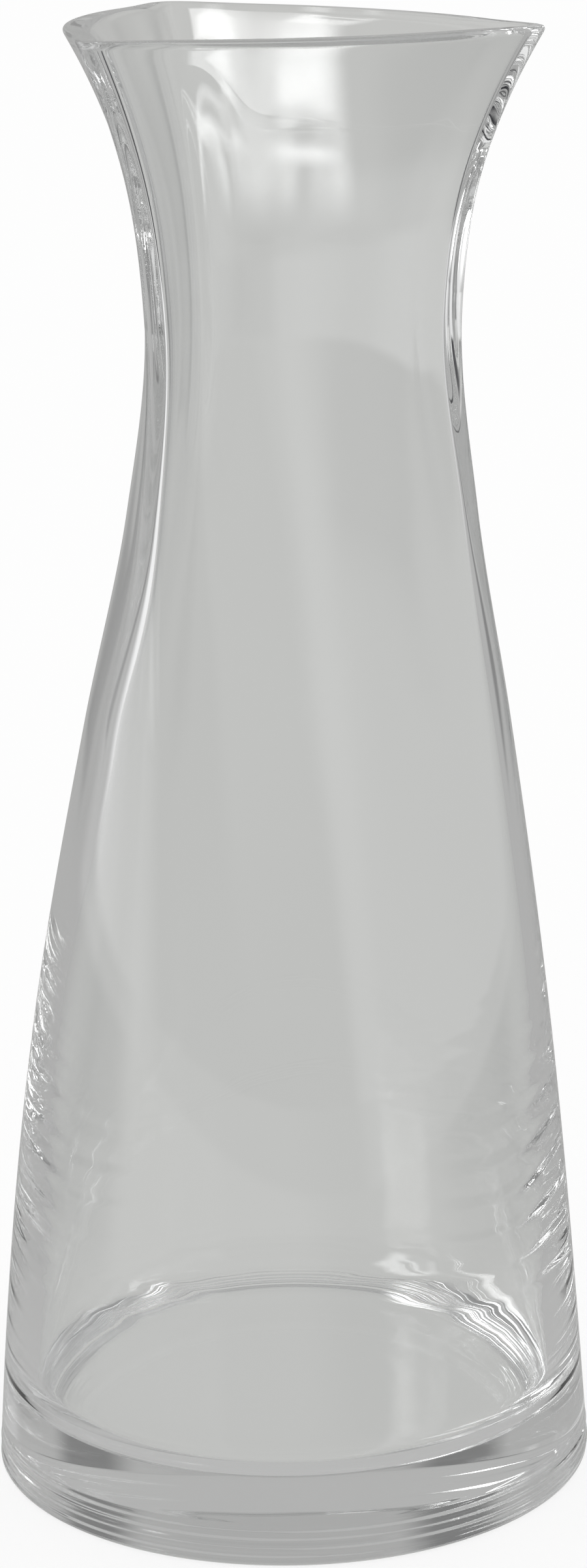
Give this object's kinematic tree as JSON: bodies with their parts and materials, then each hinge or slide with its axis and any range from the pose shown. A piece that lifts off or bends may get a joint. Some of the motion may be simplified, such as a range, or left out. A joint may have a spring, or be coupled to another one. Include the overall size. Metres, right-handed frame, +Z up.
{
  "type": "water carafe",
  "caption": "Clear glass table carafe: heavy round base, tapering body, waisted neck and a flared mouth drawn out into pouring lips that run down as soft ridges.",
  "frame": {"origin": "centre of the foot, in the plane that the carafe stands on", "axes": "+Z up through the mouth, +X towards one pouring lip"},
  "size_m": [0.1164, 0.1164, 0.28],
  "materials": {
    "glass": "clear, colourless, fire polished, with faint waves in the lower wall"
  },
  "bodies": {
    "root": {"base": "glass", "body": "glass", "neck": "glass", "mouth": "glass"}
  },
  "joints": []
}
